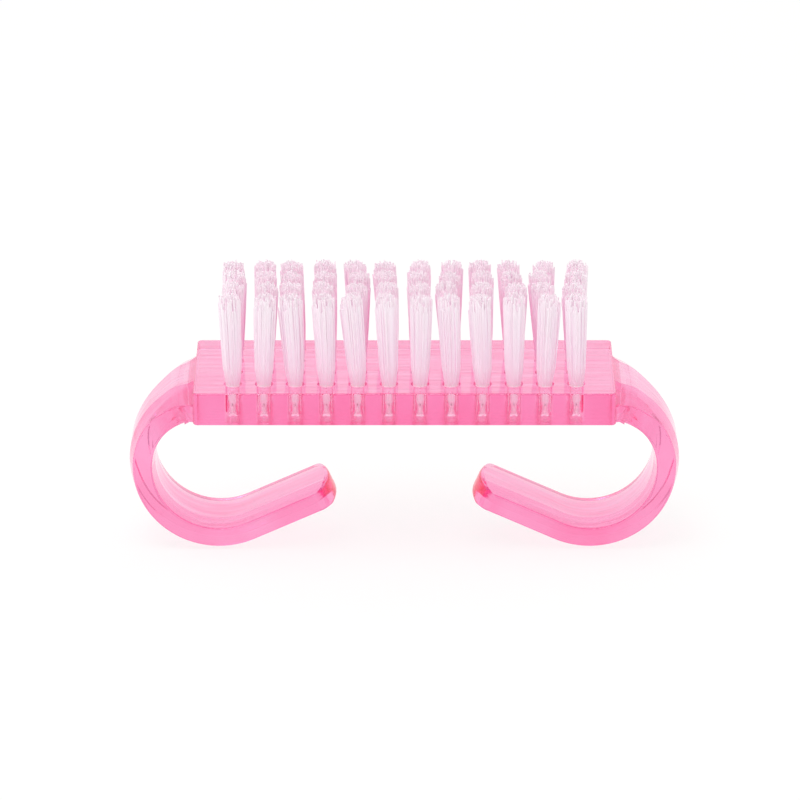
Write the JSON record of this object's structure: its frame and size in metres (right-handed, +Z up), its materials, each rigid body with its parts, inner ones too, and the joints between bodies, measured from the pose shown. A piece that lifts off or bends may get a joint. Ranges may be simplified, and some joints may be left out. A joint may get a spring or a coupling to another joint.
{
  "type": "nail brush",
  "caption": "Clear moulded nail brush: a flat block set with rows of upright bristle tufts and, at each end, an arm that curls under it into a finger loop.",
  "frame": {"origin": "under the middle of the brush, at the height of the surface that its two curls stand on", "axes": "+Z up along the bristles, +X along the block from one finger loop to the other, -Y the front"},
  "size_m": [0.1054, 0.0284, 0.0533],
  "materials": {
    "handle_plastic": "clear tinted, glossy",
    "bristle_nylon": "translucent white filament",
    "anchor_wire": "drawn flat wire"
  },
  "bodies": {
    "root": {"brush_handle": "handle_plastic", "tuft_row1_01": "bristle_nylon", "tuft_row1_02": "bristle_nylon", "tuft_row1_03": "bristle_nylon", "tuft_row1_04": "bristle_nylon", "tuft_row1_05": "bristle_nylon", "tuft_row1_06": "bristle_nylon", "tuft_row1_07": "bristle_nylon", "tuft_row1_08": "bristle_nylon", "tuft_row1_09": "bristle_nylon", "tuft_row1_10": "bristle_nylon", "tuft_row1_11": "bristle_nylon", "tuft_row1_12": "bristle_nylon", "tuft_row2_01": "bristle_nylon", "tuft_row2_02": "bristle_nylon", "tuft_row2_03": "bristle_nylon", "tuft_row2_04": "bristle_nylon", "tuft_row2_05": "bristle_nylon", "tuft_row2_06": "bristle_nylon", "tuft_row2_07": "bristle_nylon", "tuft_row2_08": "bristle_nylon", "tuft_row2_09": "bristle_nylon", "tuft_row2_10": "bristle_nylon", "tuft_row2_11": "bristle_nylon", "tuft_row2_12": "bristle_nylon", "tuft_row3_01": "bristle_nylon", "tuft_row3_02": "bristle_nylon", "tuft_row3_03": "bristle_nylon", "tuft_row3_04": "bristle_nylon", "tuft_row3_05": "bristle_nylon", "tuft_row3_06": "bristle_nylon", "tuft_row3_07": "bristle_nylon", "tuft_row3_08": "bristle_nylon", "tuft_row3_09": "bristle_nylon", "tuft_row3_10": "bristle_nylon", "tuft_row3_11": "bristle_nylon", "tuft_row3_12": "bristle_nylon", "tuft_row4_01": "bristle_nylon", "tuft_row4_02": "bristle_nylon", "tuft_row4_03": "bristle_nylon", "tuft_row4_04": "bristle_nylon", "tuft_row4_05": "bristle_nylon", "tuft_row4_06": "bristle_nylon", "tuft_row4_07": "bristle_nylon", "tuft_row4_08": "bristle_nylon", "tuft_row4_09": "bristle_nylon", "tuft_row4_10": "bristle_nylon", "tuft_row4_11": "bristle_nylon", "tuft_row4_12": "bristle_nylon", "anchors_row1": "anchor_wire", "anchors_row2": "anchor_wire", "anchors_row3": "anchor_wire", "anchors_row4": "anchor_wire"}
  },
  "joints": []
}
